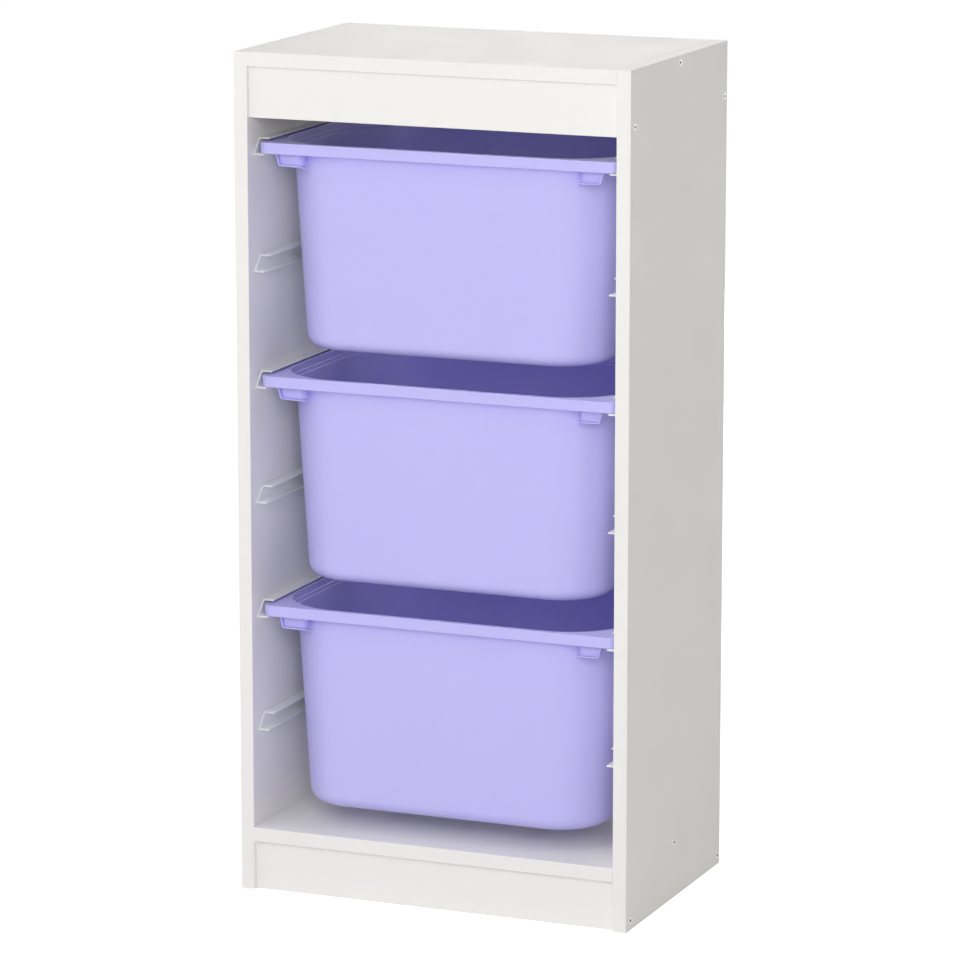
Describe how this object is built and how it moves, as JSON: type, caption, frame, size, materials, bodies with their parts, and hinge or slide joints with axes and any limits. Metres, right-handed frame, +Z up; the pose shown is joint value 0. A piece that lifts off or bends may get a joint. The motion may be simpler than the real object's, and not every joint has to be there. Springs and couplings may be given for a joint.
{
  "type": "toy storage organizer with bins",
  "caption": "Upright open frame of white board with plastic runners on its inner sides and lavender bins that slide on them by their flanged rims.",
  "frame": {"origin": "on the floor, under the middle of the frame", "axes": "+X to the right seen from the front, +Y to the back, +Z up; the bins slide out along -Y"},
  "size_m": [0.46, 0.3, 0.94],
  "materials": {
    "white_board": "white foil over particleboard, satin",
    "runner_plastic": "white moulded plastic, satin",
    "bin_plastic": "lavender polypropylene, fine satin",
    "screw_steel": "zinc plated",
    "dowel_wood": "plain beech"
  },
  "bodies": {
    "frame": {"side_panel_left": "white_board", "side_panel_right": "white_board", "top_panel": "white_board", "bottom_panel": "white_board", "front_top_rail": "white_board", "back_top_rail": "white_board", "front_plinth": "white_board", "back_plinth": "white_board", "runner_left_1": "runner_plastic", "runner_left_2": "runner_plastic", "runner_left_3": "runner_plastic", "runner_left_4": "runner_plastic", "runner_left_5": "runner_plastic", "runner_left_6": "runner_plastic", "runner_right_1": "runner_plastic", "runner_right_2": "runner_plastic", "runner_right_3": "runner_plastic", "runner_right_4": "runner_plastic", "runner_right_5": "runner_plastic", "runner_right_6": "runner_plastic", "screws_left": "screw_steel", "screws_right": "screw_steel", "dowels_left": "dowel_wood", "dowels_right": "dowel_wood"},
    "bin_top": {"bin_top": "bin_plastic"},
    "bin_middle": {"bin_middle": "bin_plastic"},
    "bin_bottom": {"bin_bottom": "bin_plastic"}
  },
  "joints": [
    {"name": "bin_top_slide", "type": "slide", "parent": "frame", "child": "bin_top", "axis": [0, -1, 0], "range_m": [0, 0.22]},
    {"name": "bin_middle_slide", "type": "slide", "parent": "frame", "child": "bin_middle", "axis": [0, -1, 0], "range_m": [0, 0.22]},
    {"name": "bin_bottom_slide", "type": "slide", "parent": "frame", "child": "bin_bottom", "axis": [0, -1, 0], "range_m": [0, 0.22]}
  ]
}
